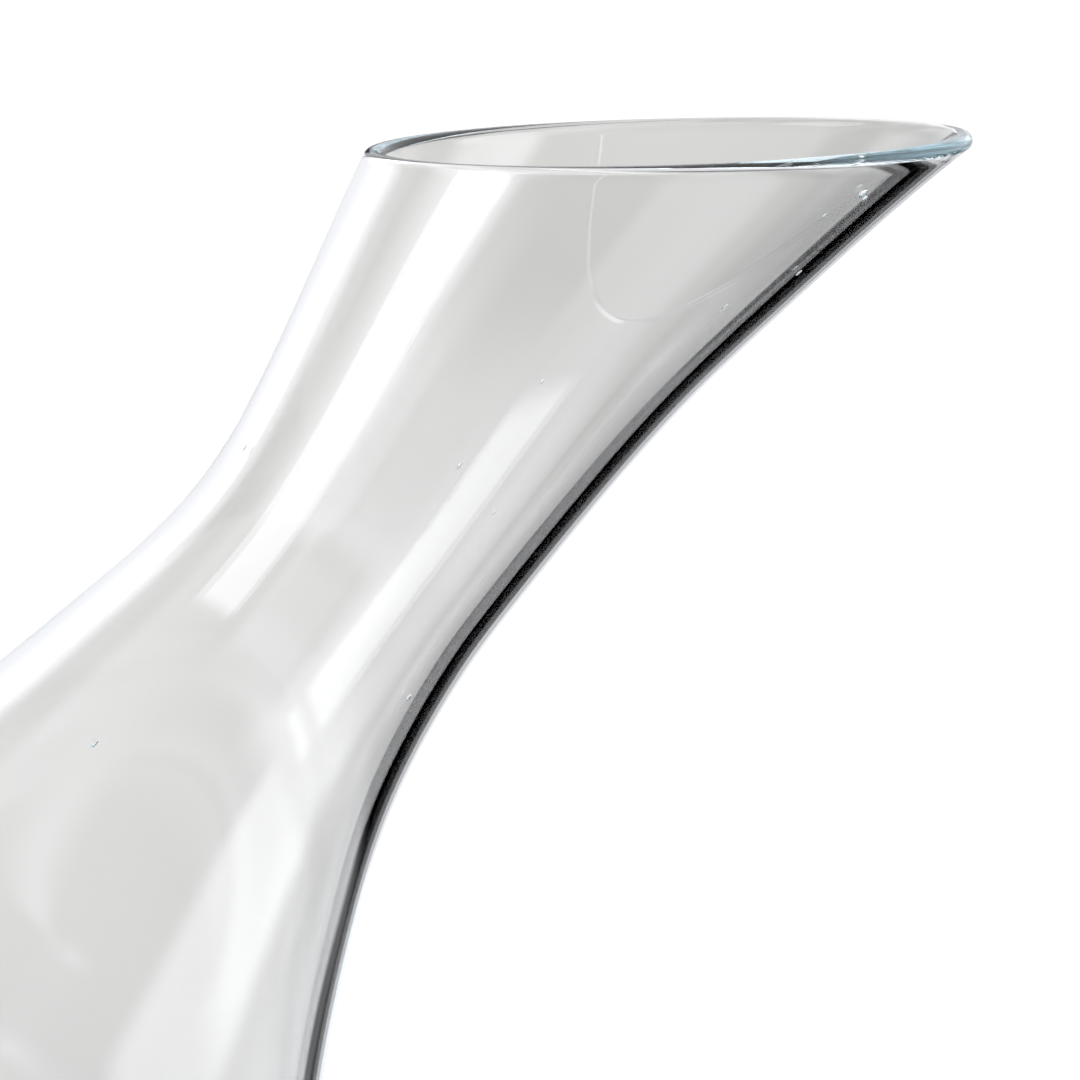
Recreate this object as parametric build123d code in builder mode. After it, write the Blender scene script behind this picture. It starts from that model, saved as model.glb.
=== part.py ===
"""Slant-mouthed wine decanter, mouth-blown in one piece of clear glass.

Millimetres, +Z up. The origin is the centre of the base, on the surface the decanter stands on.
The pouring lip, the high side of the slanted mouth, points along +X.
"""

from build123d import *
import os

# The bowl
BELLY_RADIUS = 84.0
BELLY_HEIGHT = 29.0  # height of the widest point, and the radius of the heel below it
BELLY_PULL = 22.0  # how far the wall runs on straight up from the widest point

# The shoulder, between the bowl and the neck
SHOULDER_RADIUS = 48.1
SHOULDER_HEIGHT = 90.0
SHOULDER_SLOPE = 30.0  # degrees that the wall leans in from upright
SHOULDER_PULL_DOWN = 36.0
SHOULDER_PULL_UP = 27.2

# The waist, the narrowest point of the neck
WAIST_RADIUS = 23.0
WAIST_HEIGHT = 170.4
WAIST_PULL_DOWN = 21.7
WAIST_PULL_UP = 20.3

# The flared mouth, before it is cut on the slant
MOUTH_RADIUS = 41.2
MOUTH_HEIGHT = 275.0
MOUTH_SLOPE = 21.6  # degrees that the wall leans out at the very top
MOUTH_PULL = 22.9

# The slanted rim: the plane crosses the axis at RIM_HEIGHT and rises towards +X
RIM_HEIGHT = 241.6
RIM_SLANT = 36.7
LIP_ROUNDING = 1.0

# The glass
WALL = 2.6
BASE_THICKNESS = 5.5
FOOT_WIDTH = 8.0  # the flat ring that the decanter stands on
PUNT_RISE = 6.0  # how far the underside is pushed up at its centre
INNER_HEEL_PULL_OUT = 18.0  # how far the floor runs on level before it turns up into the wall
INNER_HEEL_PULL_UP = 14.0

foot_radius = BELLY_RADIUS - BELLY_HEIGHT
punt_radius = foot_radius - FOOT_WIDTH
cavity_belly_radius = BELLY_RADIUS - WALL
floor_rise = PUNT_RISE + BASE_THICKNESS
clear_of_rim = 10.0  # how far the cut for the cavity runs on past the mouth


def step(point, slope, distance):
    """The point that lies the distance further up a wall that leans out from upright by the slope."""
    return point + Vector(0, distance).rotate(Axis.Z, -slope)


def wall_curves(inset):
    """The control points of the belly, shoulder and flare curves, all moved inwards by the inset."""
    belly = Vector(BELLY_RADIUS - inset, BELLY_HEIGHT)
    shoulder = Vector(SHOULDER_RADIUS, SHOULDER_HEIGHT) - Vector(inset, 0).rotate(Axis.Z, SHOULDER_SLOPE)
    waist = Vector(WAIST_RADIUS - inset, WAIST_HEIGHT)
    mouth = Vector(MOUTH_RADIUS, MOUTH_HEIGHT) - Vector(inset, 0).rotate(Axis.Z, -MOUTH_SLOPE)
    return [
        [
            belly,
            step(belly, 0, BELLY_PULL),
            step(shoulder, -SHOULDER_SLOPE, -SHOULDER_PULL_DOWN),
            shoulder,
        ],
        [
            shoulder,
            step(shoulder, -SHOULDER_SLOPE, SHOULDER_PULL_UP),
            step(waist, 0, -WAIST_PULL_DOWN),
            waist,
        ],
        [
            waist,
            step(waist, 0, WAIST_PULL_UP),
            step(mouth, MOUTH_SLOPE, -MOUTH_PULL),
            mouth,
        ],
    ]


rim_plane = Plane(
    origin=(0, 0, RIM_HEIGHT),
    z_dir=Vector(0, 0, 1).rotate(Axis.Y, -RIM_SLANT),
)

with BuildPart() as glass_vessel:
    # The outer shape: pushed-up underside, foot ring, heel, belly, shoulder, neck and flared mouth
    with BuildSketch(Plane.XZ):
        with BuildLine():
            TangentArc((0, PUNT_RISE), (punt_radius, 0), tangent=(1, 0))
            Line((punt_radius, 0), (foot_radius, 0))
            TangentArc((foot_radius, 0), (BELLY_RADIUS, BELLY_HEIGHT), tangent=(1, 0))
            for controls in wall_curves(0):
                outer = Bezier(*controls)
            Polyline(outer @ 1, (0, (outer @ 1).Y), (0, PUNT_RISE))
        make_face()
    revolve(axis=Axis.Z)

    # The cavity: a floor that follows the underside, then the same wall curves set in by the wall
    with BuildSketch(Plane.XZ):
        with BuildLine():
            TangentArc((0, floor_rise), (punt_radius, BASE_THICKNESS), tangent=(1, 0))
            Bezier(
                (punt_radius, BASE_THICKNESS),
                (punt_radius + INNER_HEEL_PULL_OUT, BASE_THICKNESS),
                (cavity_belly_radius, BELLY_HEIGHT - INNER_HEEL_PULL_UP),
                (cavity_belly_radius, BELLY_HEIGHT),
            )
            for controls in wall_curves(WALL):
                inner = Bezier(*controls)
            above = (inner @ 1).Y + clear_of_rim
            Polyline(
                inner @ 1,
                ((inner @ 1).X, above),
                (0, above),
                (0, floor_rise),
            )
        make_face()
    revolve(axis=Axis.Z, mode=Mode.SUBTRACT)

    # The mouth cut on the slant, and its edges rounded in the flame
    split(bisect_by=rim_plane, keep=Keep.BOTTOM)
    rim = glass_vessel.faces().sort_by(Axis.Z)[-1]
    fillet(rim.edges(), radius=LIP_ROUNDING)

glass_vessel.part.label = "glass_vessel"

os.makedirs("parts", exist_ok=True)
export_step(glass_vessel.part, "parts/glass_vessel.step")
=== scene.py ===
"""Wine decanter of clear blown glass with a slanted mouth, in a pale studio. Metres, +Z up.

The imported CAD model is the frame. One closed mesh, decanter_glass, stands for its node glass_vessel:
the same wall, with the slight wander of a hand-blown neck and the seeds that lie in the glass.
"""

import math

import bpy
import numpy as np
from mathutils import Matrix, Vector


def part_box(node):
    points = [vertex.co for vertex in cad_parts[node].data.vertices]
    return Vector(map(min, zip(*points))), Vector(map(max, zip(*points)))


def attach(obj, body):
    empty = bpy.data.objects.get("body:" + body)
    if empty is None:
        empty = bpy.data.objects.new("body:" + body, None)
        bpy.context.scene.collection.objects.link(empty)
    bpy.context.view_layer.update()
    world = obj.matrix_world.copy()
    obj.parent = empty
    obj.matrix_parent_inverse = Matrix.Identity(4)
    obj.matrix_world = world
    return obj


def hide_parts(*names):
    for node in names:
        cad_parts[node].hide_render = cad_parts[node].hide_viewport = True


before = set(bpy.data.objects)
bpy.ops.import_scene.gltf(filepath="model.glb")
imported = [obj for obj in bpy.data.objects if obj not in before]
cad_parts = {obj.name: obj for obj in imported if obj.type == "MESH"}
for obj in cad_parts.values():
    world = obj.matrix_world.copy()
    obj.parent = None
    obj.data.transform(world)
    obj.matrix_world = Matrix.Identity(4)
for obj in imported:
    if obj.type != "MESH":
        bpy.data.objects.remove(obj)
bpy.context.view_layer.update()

# ---- The vessel's shape, in millimetres, as the CAD model has it ------------------------------------

BELLY_RADIUS = 84.0  # the widest ring, where the wall stands upright
BELLY_HEIGHT = 29.0
BELLY_PULL = 22.0  # a pull is how far off a curve's control point lies: the longer, the later it bends
SHOULDER_RADIUS = 48.1  # between the belly and the waist, where the curve turns from round to hollow
SHOULDER_HEIGHT = 90.0
SHOULDER_SLOPE = 30.0  # degrees that the wall leans in from upright
SHOULDER_PULL_DOWN = 36.0
SHOULDER_PULL_UP = 27.2
WAIST_RADIUS = 23.0  # the narrowest ring, where the wall stands upright again
WAIST_HEIGHT = 170.4
WAIST_PULL_DOWN = 21.7
WAIST_PULL_UP = 20.3
MOUTH_RADIUS = 41.2  # the end of the flare, past the slanted cut
MOUTH_HEIGHT = 275.0
MOUTH_SLOPE = 21.6  # degrees that the wall leans out from upright
MOUTH_PULL = 22.9
RIM_HEIGHT = 241.6  # the slanted cut's height on the axis
RIM_SLANT = 36.7  # degrees
LIP_ROUNDING = 1.1
WALL = 2.6
BASE_THICKNESS = 5.5
FOOT_WIDTH = 8.0  # the flat ring that the decanter stands on
PUNT_RISE = 6.0  # how far the underside is pushed up in its middle
INNER_HEEL_PULL_OUT = 18.0
INNER_HEEL_PULL_UP = 14.0

# How the neck wanders off its axis: the height, spread and shift of each bend.
NECK_BENDS = ((140, 11, -0.55), (173, 15, 0.8), (217, 13, -0.6))

# Seeds, the small air bubbles that blown glass keeps in its wall: azimuth in degrees, height, half the
# width and half the length of each.
SEEDS = (
    (-30.4, 256.9, 0.62, 0.80),
    (-28.3, 256.2, 0.42, 0.50),
    (-35.1, 251.7, 0.20, 0.40),
    (-23.0, 242.4, 0.24, 0.60),
    (-67.2, 212.0, 0.16, 0.45),
    (-34.4, 162.5, 0.30, 0.60),
    (-53.6, 192.4, 0.14, 0.40),
    (-150.0, 178.0, 0.20, 0.70),
    (24.0, 228.0, 0.30, 0.90),
    (75.0, 186.0, 0.22, 0.80),
    (118.0, 118.0, 0.35, 0.90),
    (160.0, 61.0, 0.40, 1.00),
    (-120.0, 84.0, 0.30, 0.90),
    (-20.0, 48.0, 0.45, 1.00),
)

low_corner, high_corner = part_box("glass_vessel")
MM = (high_corner.x - low_corner.x) / (2 * BELLY_RADIUS)  # one millimetre of the CAD model, in metres

foot_radius = BELLY_RADIUS - BELLY_HEIGHT
punt_radius = foot_radius - FOOT_WIDTH
slant = math.tan(math.radians(RIM_SLANT))

# ---- The mesh's density ----------------------------------------------------------------------------

COLUMNS = 256
ROW_SPACING = 2.2  # millimetres along the wall
LEVEL_TOP = 195.0  # rows are level rings up to here, and above it they tilt more and more towards the rim
UPPER_ROWS = 30
RIM_ROWS = 8  # on each of the lip's two roundings
CUT_POINTS = 4  # across the flat of the lip between them
UNDERSIDE_POINTS = 24
INNER_FLOOR_POINTS = 20
CURVE_SAMPLES = 400  # of each curve and arc, before the rows are placed along them
SEED_RINGS = 8
SEED_SPOKES = 12

# ---- Curves in the upright half-plane, as points of radius and height -------------------------------


def turned(vector, degrees):
    """A vector in the plane, turned anticlockwise."""
    angle = math.radians(degrees)
    c, s = math.cos(angle), math.sin(angle)
    return np.array([c * vector[0] - s * vector[1], s * vector[0] + c * vector[1]])


def step(point, slope, distance):
    """The point that lies the distance further up a wall that leans out from upright by the slope."""
    return np.array(point) + turned((0, distance), -slope)


def bezier(points):
    """A cubic Bezier curve with these four control points, as many close points."""
    a, b, c, d = (np.array(p, float) for p in points)
    t = np.linspace(0, 1, CURVE_SAMPLES)[:, None]
    return a * (1 - t) ** 3 + 3 * b * t * (1 - t) ** 2 + 3 * c * t**2 * (1 - t) + d * t**3


def tangent_arc(start, end, heading):
    """A circular arc from start to end that sets off along the heading, as many close points."""
    start, end, heading = (np.array(p, float) for p in (start, end, heading))
    chord = end - start
    angle = 2 * math.atan2(heading[0] * chord[1] - heading[1] * chord[0], heading @ chord)
    radius = np.linalg.norm(chord) / (2 * math.sin(abs(angle) / 2))
    side = math.copysign(1, angle)
    centre = start + radius * side * np.array([-heading[1], heading[0]])
    turns = np.linspace(0, math.degrees(angle), CURVE_SAMPLES)
    return np.array([centre + turned(start - centre, turn) for turn in turns])


def joined(*curves):
    """Curves end to end, with each point that two of them share kept once."""
    return np.vstack([curves[0]] + [curve[1:] for curve in curves[1:]])


def wall_curves(inset):
    """The three curves from belly to shoulder, waist and mouth, all moved inwards by the inset."""
    belly = np.array([BELLY_RADIUS - inset, BELLY_HEIGHT])
    shoulder = np.array([SHOULDER_RADIUS, SHOULDER_HEIGHT]) - turned((inset, 0), SHOULDER_SLOPE)
    waist = np.array([WAIST_RADIUS - inset, WAIST_HEIGHT])
    mouth = np.array([MOUTH_RADIUS, MOUTH_HEIGHT]) - turned((inset, 0), -MOUTH_SLOPE)
    over_belly = step(belly, 0, BELLY_PULL)
    under_shoulder = step(shoulder, -SHOULDER_SLOPE, -SHOULDER_PULL_DOWN)
    over_shoulder = step(shoulder, -SHOULDER_SLOPE, SHOULDER_PULL_UP)
    under_waist = step(waist, 0, -WAIST_PULL_DOWN)
    over_waist = step(waist, 0, WAIST_PULL_UP)
    under_mouth = step(mouth, MOUTH_SLOPE, -MOUTH_PULL)
    return [
        bezier([belly, over_belly, under_shoulder, shoulder]),
        bezier([shoulder, over_shoulder, under_waist, waist]),
        bezier([waist, over_waist, under_mouth, mouth]),
    ]


def lengths(curve):
    """How far along the curve each of its points lies."""
    return np.concatenate([[0], np.cumsum(np.linalg.norm(np.diff(curve, axis=0), axis=1))])


def at(curve, distances):
    """The curve's points at these distances along it."""
    along = lengths(curve)
    return np.stack([np.interp(distances, along, curve[:, k]) for k in (0, 1)], axis=-1)


def evenly(curve, count):
    """Points spaced evenly along the whole curve, without its last one."""
    return at(curve, np.linspace(0, lengths(curve)[-1], count))[:-1]


def below_rim(points, azimuth):
    """How far points in the upright half-plane at this azimuth lie below the slanted rim plane."""
    rise = slant * math.cos(azimuth)
    return (RIM_HEIGHT + points[:, 0] * rise - points[:, 1]) / math.hypot(1, rise)


def lip_arc(wall, into_glass, azimuth):
    """The rounding between a wall and the slanted cut: where it leaves the wall, and its points."""
    tangents = np.gradient(wall, axis=0)
    tangents /= np.linalg.norm(tangents, axis=1)[:, None]
    normals = np.stack([-tangents[:, 1], tangents[:, 0]], axis=1) * into_glass
    centres = wall + LIP_ROUNDING * normals
    depth = below_rim(centres, azimuth) - LIP_ROUNDING
    k = np.flatnonzero((depth[:-1] > 0) & (depth[1:] <= 0))[-1]
    share = depth[k] / (depth[k] - depth[k + 1])
    centre = centres[k] + share * (centres[k + 1] - centres[k])
    leaves = lengths(wall)[k] + share * np.linalg.norm(wall[k + 1] - wall[k])
    start = at(wall, leaves)
    rise = slant * math.cos(azimuth)
    up = np.array([-rise, 1]) / math.hypot(1, rise)
    first = start - centre
    sweep = math.atan2(first[0] * up[1] - first[1] * up[0], first @ up)
    turns = np.degrees(np.linspace(0, sweep, RIM_ROWS + 1))
    return leaves, np.array([centre + turned(first, turn) for turn in turns])


outer_heel = tangent_arc((foot_radius, 0), (BELLY_RADIUS, BELLY_HEIGHT), (1, 0))
outer_wall = joined(outer_heel, *wall_curves(0))
inner_heel = bezier([
    (punt_radius, BASE_THICKNESS),
    (punt_radius + INNER_HEEL_PULL_OUT, BASE_THICKNESS),
    (BELLY_RADIUS - WALL, BELLY_HEIGHT - INNER_HEEL_PULL_UP),
    (BELLY_RADIUS - WALL, BELLY_HEIGHT),
])
inner_wall = joined(inner_heel, *wall_curves(WALL))
punt = tangent_arc((0, PUNT_RISE), (punt_radius, 0), (1, 0))
foot = np.array([(punt_radius, 0.0), (foot_radius, 0.0)])
underside = joined(punt, foot)
inner_floor = tangent_arc((0, PUNT_RISE + BASE_THICKNESS), (punt_radius, BASE_THICKNESS), (1, 0))


def level_rows(curve):
    """Distances along a wall of its level rings, evenly spaced up to LEVEL_TOP."""
    along = lengths(curve)
    top = np.interp(LEVEL_TOP, curve[-CURVE_SAMPLES:, 1], along[-CURVE_SAMPLES:])
    return np.linspace(0, top, int(top / ROW_SPACING))


outer_rows = level_rows(outer_wall)
inner_rows = level_rows(inner_wall)

# ---- The mesh --------------------------------------------------------------------------------------


def wall_points(wall, rows, end):
    """A wall's points: its level rings, and then the tilting rows up to where the lip begins."""
    upper = np.linspace(0, 1, UPPER_ROWS + 1)[1:-1]
    return at(wall, np.concatenate([rows, rows[-1] + upper * (end - rows[-1])]))


def section(azimuth):
    """The outline of the glass in the upright half-plane at this azimuth, as radius and height.

    It runs from the middle of the underside, over the rim, to the middle of the floor inside.
    """
    outer_end, outer_lip = lip_arc(outer_wall, 1, azimuth)
    inner_end, inner_lip = lip_arc(inner_wall, -1, azimuth)
    return np.vstack([
        evenly(underside, UNDERSIDE_POINTS),
        wall_points(outer_wall, outer_rows, outer_end),
        outer_lip,
        np.linspace(outer_lip[-1], inner_lip[-1], CUT_POINTS)[1:-1],
        inner_lip[::-1],
        wall_points(inner_wall, inner_rows, inner_end)[::-1],
        evenly(inner_floor, INNER_FLOOR_POINTS)[::-1],
    ])


def wander(height):
    """How far the hand-blown neck lies off the axis towards the pouring lip at a height."""
    shifts = []
    for middle, spread, shift in NECK_BENDS:
        shifts.append(shift * np.exp(-0.5 * ((height - middle) / spread) ** 2))
    return sum(shifts)


def add_seed(vertices, faces, azimuth, height, half_width, half_length):
    """Adds one air bubble: a closed shell halfway through the wall whose faces look into the bubble."""
    along = np.gradient(outer_wall, axis=0)
    above_heel = outer_wall[CURVE_SAMPLES:, 1]
    nearest = np.argmin(np.abs(above_heel - height)) + CURVE_SAMPLES
    up = along[nearest] / np.linalg.norm(along[nearest])
    radius, level = outer_wall[nearest] + WALL / 2 * np.array([-up[1], up[0]])
    turn = math.radians(azimuth)
    outward = np.array([math.cos(turn), math.sin(turn), 0])
    across = np.array([-math.sin(turn), math.cos(turn), 0])
    lengthwise = up[0] * outward + np.array([0, 0, up[1]])
    inward = np.cross(lengthwise, across)
    centre = radius * outward + np.array([wander(level), 0, level])
    first = len(vertices)
    vertices.append((centre - half_length * lengthwise) * MM)
    for ring in range(1, SEED_RINGS):
        tilt = math.pi * ring / SEED_RINGS
        for spoke in range(SEED_SPOKES):
            spin = 2 * math.pi * spoke / SEED_SPOKES
            sideways = math.cos(spin) * across + math.sin(spin) * inward
            offset = half_width * math.sin(tilt) * sideways - half_length * math.cos(tilt) * lengthwise
            vertices.append((centre + offset) * MM)
    vertices.append((centre + half_length * lengthwise) * MM)
    last = len(vertices) - 1

    def index(ring, spoke):
        return first + 1 + (ring - 1) * SEED_SPOKES + spoke % SEED_SPOKES

    for spoke in range(SEED_SPOKES):
        faces.append((first, index(1, spoke), index(1, spoke + 1)))
        for ring in range(1, SEED_RINGS - 1):
            lower = [index(ring, spoke), index(ring, spoke + 1)]
            upper = [index(ring + 1, spoke), index(ring + 1, spoke + 1)]
            faces.append((lower[0], upper[0], upper[1], lower[1]))
        faces.append((last, index(SEED_RINGS - 1, spoke + 1), index(SEED_RINGS - 1, spoke)))


def vessel_mesh():
    """The whole wall as one closed surface, with the seeds as closed shells inside it."""
    azimuths = np.linspace(0, 2 * math.pi, COLUMNS, endpoint=False)
    grid = np.array([section(azimuth) for azimuth in azimuths])
    radius, height = grid[:, :, 0], grid[:, :, 1]
    around = azimuths[:, None]
    x = radius * np.cos(around) + wander(height)
    y = radius * np.sin(around)
    points = np.stack([x, y, height], axis=2) * MM  # column, row, (x, y, z)
    rings = points.shape[1] - 2  # the first and last rows are single points on the axis
    vertices = [points[0, 0], *points[:, 1:-1].reshape(-1, 3), points[0, -1]]
    last = len(vertices) - 1

    def index(column, ring):
        return 1 + (column % COLUMNS) * rings + ring

    faces = []
    for column in range(COLUMNS):
        faces.append((0, index(column + 1, 0), index(column, 0)))
        for ring in range(rings - 1):
            here = [index(column, ring), index(column + 1, ring)]
            above = [index(column, ring + 1), index(column + 1, ring + 1)]
            faces.append((here[0], here[1], above[1], above[0]))
        faces.append((index(column, rings - 1), index(column + 1, rings - 1), last))
    for seed in SEEDS:
        add_seed(vertices, faces, *seed)
    mesh = bpy.data.meshes.new("decanter_glass")
    mesh.from_pydata([tuple(vertex) for vertex in vertices], [], faces)
    mesh.update()
    for polygon in mesh.polygons:
        polygon.use_smooth = True
    return mesh


# ---- The glass -------------------------------------------------------------------------------------

GLASS_IOR = 1.52
TINT = (0.82, 0.92, 0.95, 1)  # the cool colour that shows only where the glass is thick
TINT_DENSITY = 7.0
SMUDGE_SCALE = 28.0  # noise cells to a metre, as for the waves
SMUDGE_DETAIL = 3.0
SMUDGE_RANGE = (0.56, 0.80)  # the noise at which marks begin, and at which they are full
SMUDGE_ROUGHNESS = 0.02
WAVE_STRETCH = (1, 1, 0.12)  # drawn out up the vessel, as it was blown
WAVE_SCALE = 55.0
WAVE_DETAIL = 2.0
WAVE_STRENGTH = 0.25
WAVE_DEPTH = 0.00002  # metres


def add_node(tree, kind, inputs, **settings):
    """A new node: its settings are set first, and then its inputs, by name or number, set or linked."""
    node = tree.nodes.new(kind)
    for name, value in settings.items():
        setattr(node, name, value)
    for name, value in inputs.items():
        if isinstance(value, bpy.types.NodeSocket):
            tree.links.new(value, node.inputs[name])
        else:
            node.inputs[name].default_value = value
    return node


def noise(tree, stretch, scale, detail):
    """Soft noise through the object's own space, which a stretch below 1 draws out."""
    place = add_node(tree, "ShaderNodeTexCoord", {}).outputs["Object"]
    spread = add_node(tree, "ShaderNodeMapping", {"Vector": place, "Scale": stretch}).outputs["Vector"]
    texture = add_node(tree, "ShaderNodeTexNoise", {"Vector": spread, "Scale": scale, "Detail": detail})
    return texture.outputs[0]


def glass_material():
    """Clear glass with faint drawn-out waves, a trace of handling marks and a cool tint in the thick."""
    material = bpy.data.materials.new("clear_glass")
    material.use_nodes = True
    tree = material.node_tree
    shader = tree.nodes["Principled BSDF"]
    shader.inputs["Base Color"].default_value = (1, 1, 1, 1)
    shader.inputs["IOR"].default_value = GLASS_IOR
    shader.inputs["Transmission Weight"].default_value = 1.0
    smudges = add_node(tree, "ShaderNodeMapRange", {
        "Value": noise(tree, (1, 1, 1), SMUDGE_SCALE, SMUDGE_DETAIL),
        "From Min": SMUDGE_RANGE[0],
        "From Max": SMUDGE_RANGE[1],
        "To Max": SMUDGE_ROUGHNESS,
    })
    tree.links.new(smudges.outputs["Result"], shader.inputs["Roughness"])
    waves = add_node(tree, "ShaderNodeBump", {
        "Height": noise(tree, WAVE_STRETCH, WAVE_SCALE, WAVE_DETAIL),
        "Strength": WAVE_STRENGTH,
        "Distance": WAVE_DEPTH,
    })
    tree.links.new(waves.outputs["Normal"], shader.inputs["Normal"])
    tint = add_node(tree, "ShaderNodeVolumeAbsorption", {"Color": TINT, "Density": TINT_DENSITY})
    tree.links.new(tint.outputs["Volume"], tree.nodes["Material Output"].inputs["Volume"])
    return material


glass = bpy.data.objects.new("decanter_glass", vessel_mesh())
bpy.context.scene.collection.objects.link(glass)
glass.data.materials.append(glass_material())
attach(glass, "root")
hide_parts("glass_vessel")

# ---- The camera, in front of the decanter, looking slightly down and rolled ------------------------

TARGET = Vector((21.7, 0.0, 188.6)) * MM  # the point in the middle of the picture
CAMERA_DISTANCE = 0.700  # metres
CAMERA_ELEVATION = math.radians(12.93)
CAMERA_ROLL = math.radians(-35.1)
CAMERA_LENS = 166.7  # millimetres, as is the sensor
CAMERA_SENSOR = 36
CAMERA_REACH = (0.01, 60)  # the nearest and the farthest that it sees, in metres


def make_camera():
    """The close view of the neck and mouth."""
    data = bpy.data.cameras.new("camera")
    data.lens = CAMERA_LENS
    data.sensor_width = CAMERA_SENSOR
    data.clip_start, data.clip_end = CAMERA_REACH
    camera = bpy.data.objects.new("camera", data)
    back = Vector((0, -math.cos(CAMERA_ELEVATION), math.sin(CAMERA_ELEVATION)))
    right = Vector((1, 0, 0))
    up = back.cross(right)
    c, s = math.cos(CAMERA_ROLL), math.sin(CAMERA_ROLL)
    turn = Matrix((c * right - s * up, s * right + c * up, back)).transposed().to_4x4()
    camera.matrix_world = Matrix.Translation(TARGET + CAMERA_DISTANCE * back) @ turn
    bpy.context.scene.collection.objects.link(camera)
    bpy.context.scene.camera = camera


make_camera()

# ---- The floor -------------------------------------------------------------------------------------

FLOOR_HALF = 12.0
FLOOR_COLOUR = (0.9, 0.9, 0.9, 1)
FLOOR_ROUGHNESS = 0.9


def make_floor():
    """A plain pale floor. The glass neither mirrors nor shows it: the studio takes its place there."""
    corners = [(x * FLOOR_HALF, y * FLOOR_HALF, 0) for x, y in ((-1, -1), (1, -1), (1, 1), (-1, 1))]
    mesh = bpy.data.meshes.new("floor")
    mesh.from_pydata(corners, [], [(0, 1, 2, 3)])
    floor = bpy.data.objects.new("floor", mesh)
    bpy.context.scene.collection.objects.link(floor)
    material = bpy.data.materials.new("floor")
    material.use_nodes = True
    shader = material.node_tree.nodes["Principled BSDF"]
    shader.inputs["Base Color"].default_value = FLOOR_COLOUR
    shader.inputs["Roughness"].default_value = FLOOR_ROUGHNESS
    mesh.materials.append(material)
    floor.visible_glossy = False
    floor.visible_transmission = False


make_floor()

# ---- The studio ------------------------------------------------------------------------------------
# Glass shows only what is round it. Each lamp, card or flag fills a soft-edged window of directions:
# azimuth, half its width, softness; elevation, half its height, softness; brightness. Azimuth is in
# degrees from straight behind the decanter, positive towards the pouring lip, and elevation in degrees
# above the horizon. A later window covers an earlier one. The backdrop seen past the glass is plain.

BACKDROP = 1.15
BOUNCES = 64  # the rim stays bright only if light can pass along inside the wall many times

# What shows through the glass.
SEEN_THROUGH = [
    (0, 200, 1, -74, 16, 7, 0.84),  # the ground straight below
    (10, 4, 2, -8, 3, 2, 0.35),  # a small dark card behind
    (38, 23, 0.7, -8, 22, 2, 0.0),  # the tall black flag behind, on the lip's side
]
THROUGH_LEVELS = (0.613, 0.98)  # elsewhere: at the horizon and above, and down towards the ground
THROUGH_FALL = -0.68  # times the azimuth's sine: darker behind towards the lip, lighter the other way
THROUGH_TINT = (1.0, 0.994, 0.970, 1)

# What the glass mirrors, at its outside or its inside.
MIRRORED = [
    (0, 200, 1, -74, 16, 7, 0.3),  # the ground straight below
    (0, 200, 1, 52, 40, 5, 1.5),  # the ceiling
    (-127, 14, 0.7, -21, 21, 1.5, 4.0),  # the long lamp in front on the left
    (-73, 17, 2, -22, 22, 2, 2.2),  # the long lamp at the left
    (-22, 17, 5, -13, 5, 3, 0.95),  # a pale card behind on the left
    (-174, 22, 6, -10, 14, 4, 2.5),  # the lamp just below the camera
    (113, 24, 6, 16, 11, 2, 3.4),  # the high lamp at the right
    (128, 35, 11, -9, 15, 5, 3.2),  # the soft lamp in front on the right
    (-6, 14, 2, -4.2, 3.3, 1.0, 0.08),  # a dark bar straight behind
    (51, 34, 0.7, -10, 3.8, 1.2, 0.0),  # the long black flag on the lip's side, its upper part
    (52, 33, 0.7, -16.5, 6.5, 1.2, 0.0),  # and its lower part
    (-82, 13, 5, -6, 27, 6, 0.47),  # a grey card in front of the left lamp
    (117, 14, 15, -45, 40, 6, 1.1),  # a soft glow low on the right
    (-179, 31, 5, -32, 10, 7, 0.0),  # the shade under that lamp
]
MIRROR_LEVELS = (0.884, 1.42)
MIRROR_FALL = -0.5  # the same, all the way round
MIRROR_TINT = (0.965, 0.972, 1.0, 1)

LEVEL_FADE = (-12, -52)  # degrees of elevation between which the first level gives way to the second
BEHIND_FADE = (90, 50)  # degrees of azimuth between which THROUGH_FALL sets in


def calculate(tree, operation, *values):
    """The result of one maths node."""
    return add_node(tree, "ShaderNodeMath", dict(enumerate(values)), operation=operation).outputs[0]


def fade(tree, value, start, end):
    """A smooth rise from 0 where the value is at the start to 1 where it is at the end."""
    inputs = {"Value": value, "From Min": start, "From Max": end}
    return add_node(tree, "ShaderNodeMapRange", inputs, interpolation_type="SMOOTHSTEP").outputs["Result"]


def mixed(tree, share, first, second, kind="FLOAT"):
    """The first value or colour where the share is 0, the second where it is 1."""
    inputs = {"Factor": share, "A": first, "B": second}
    return add_node(tree, "ShaderNodeMix", inputs, data_type=kind).outputs["Result"]


def window(tree, azimuth, elevation, lamp):
    """1 in the directions that a lamp, card or flag fills, and 0 outside its soft edges."""
    middle, half, soft, height, half_height, soft_height, _ = lamp
    turn = calculate(tree, "WRAP", calculate(tree, "SUBTRACT", azimuth, middle), 180, -180)
    side_edge = fade(tree, calculate(tree, "ABSOLUTE", turn), half - soft, half + soft)
    rise = calculate(tree, "ABSOLUTE", calculate(tree, "SUBTRACT", elevation, height))
    end_edge = fade(tree, rise, half_height - soft_height, half_height + soft_height)
    across = calculate(tree, "SUBTRACT", 1, side_edge)
    upright = calculate(tree, "SUBTRACT", 1, end_edge)
    return calculate(tree, "MULTIPLY", across, upright)


def lit(tree, azimuth, elevation, base, lamps):
    """The brightness in each direction: the base, with each lamp, card or flag laid over it in turn."""
    for lamp in lamps:
        base = mixed(tree, window(tree, azimuth, elevation, lamp), base, lamp[-1])
    return base


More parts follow.
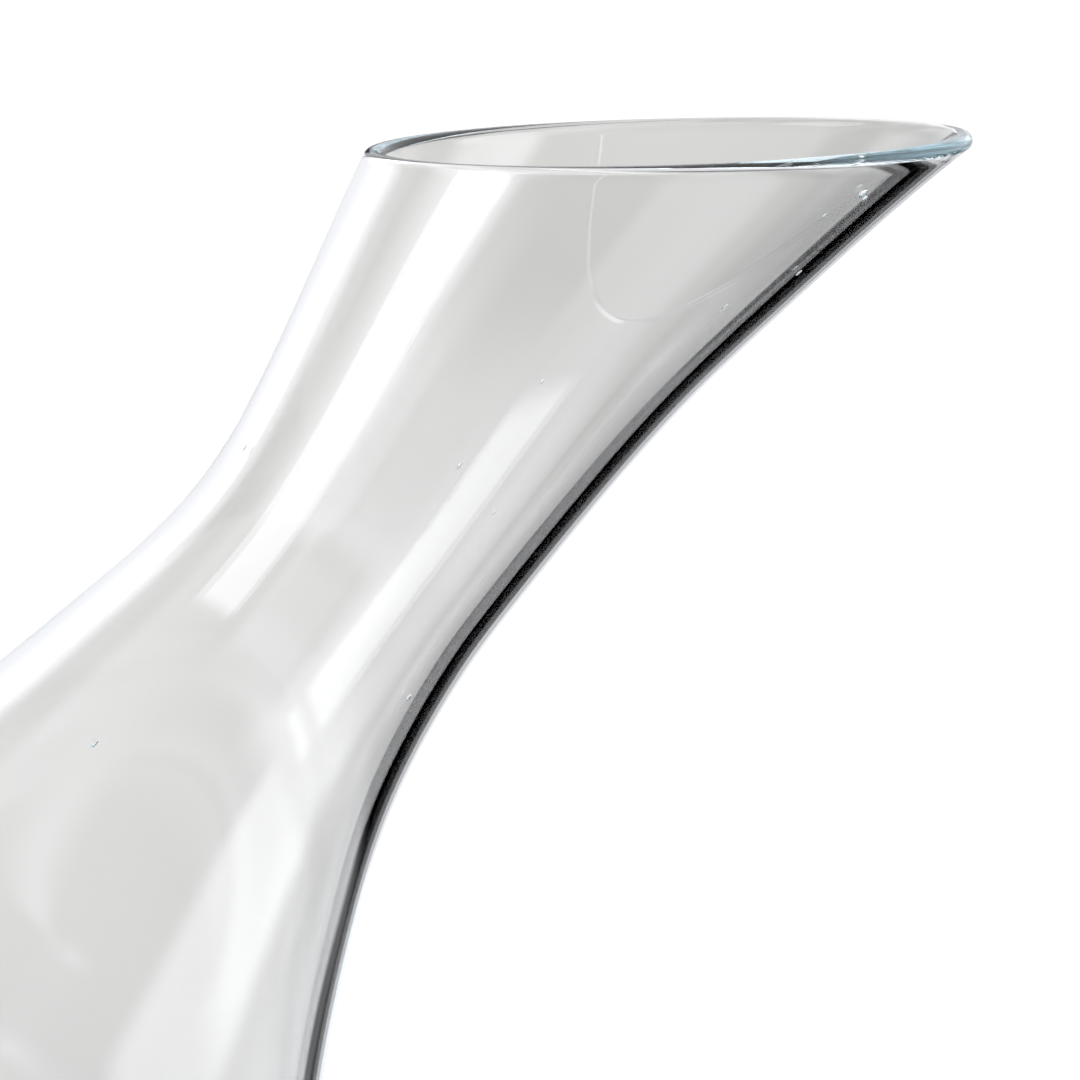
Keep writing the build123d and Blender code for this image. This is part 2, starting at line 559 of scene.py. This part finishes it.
def make_world():
    """The studio round the glass, and the plain backdrop for light that hasn't met the glass."""
    world = bpy.data.worlds.new("studio")
    bpy.context.scene.world = world
    world.use_nodes = True
    tree = world.node_tree
    direction = add_node(tree, "ShaderNodeTexCoord", {}).outputs["Generated"]
    x, y, z = add_node(tree, "ShaderNodeSeparateXYZ", {0: direction}).outputs
    azimuth = calculate(tree, "DEGREES", calculate(tree, "ARCTAN2", x, y))
    elevation = calculate(tree, "DEGREES", calculate(tree, "ARCSINE", z))

    low = fade(tree, elevation, *LEVEL_FADE)
    to_the_lip = calculate(tree, "SINE", calculate(tree, "RADIANS", azimuth))
    behind = fade(tree, calculate(tree, "ABSOLUTE", azimuth), *BEHIND_FADE)
    through_fall = calculate(tree, "MULTIPLY", calculate(tree, "MULTIPLY", to_the_lip, behind), THROUGH_FALL)
    through = calculate(tree, "ADD", mixed(tree, low, *THROUGH_LEVELS), through_fall)
    mirror_fall = calculate(tree, "MULTIPLY", to_the_lip, MIRROR_FALL)
    mirror = calculate(tree, "ADD", mixed(tree, low, *MIRROR_LEVELS), mirror_fall)

    path = add_node(tree, "ShaderNodeLightPath", {}).outputs
    reflected = calculate(tree, "GREATER_THAN", path["Glossy Depth"], 0.5)
    meetings = calculate(tree, "ADD", path["Glossy Depth"], path["Transmission Depth"])
    touched = calculate(tree, "GREATER_THAN", meetings, 0.5)
    seen = lit(tree, azimuth, elevation, through, SEEN_THROUGH)
    mirrored = lit(tree, azimuth, elevation, mirror, MIRRORED)
    studio = mixed(tree, reflected, seen, mirrored)
    tint = mixed(tree, reflected, THROUGH_TINT, MIRROR_TINT, "RGBA")
    background = tree.nodes["Background"]
    tree.links.new(mixed(tree, touched, (1, 1, 1, 1), tint, "RGBA"), background.inputs["Color"])
    tree.links.new(mixed(tree, touched, BACKDROP, studio), background.inputs["Strength"])


make_world()
scene = bpy.context.scene
scene.view_settings.view_transform = "Standard"
scene.cycles.max_bounces = BOUNCES
scene.cycles.transmission_bounces = BOUNCES
scene.cycles.glossy_bounces = BOUNCES
scene.cycles.use_denoising = True
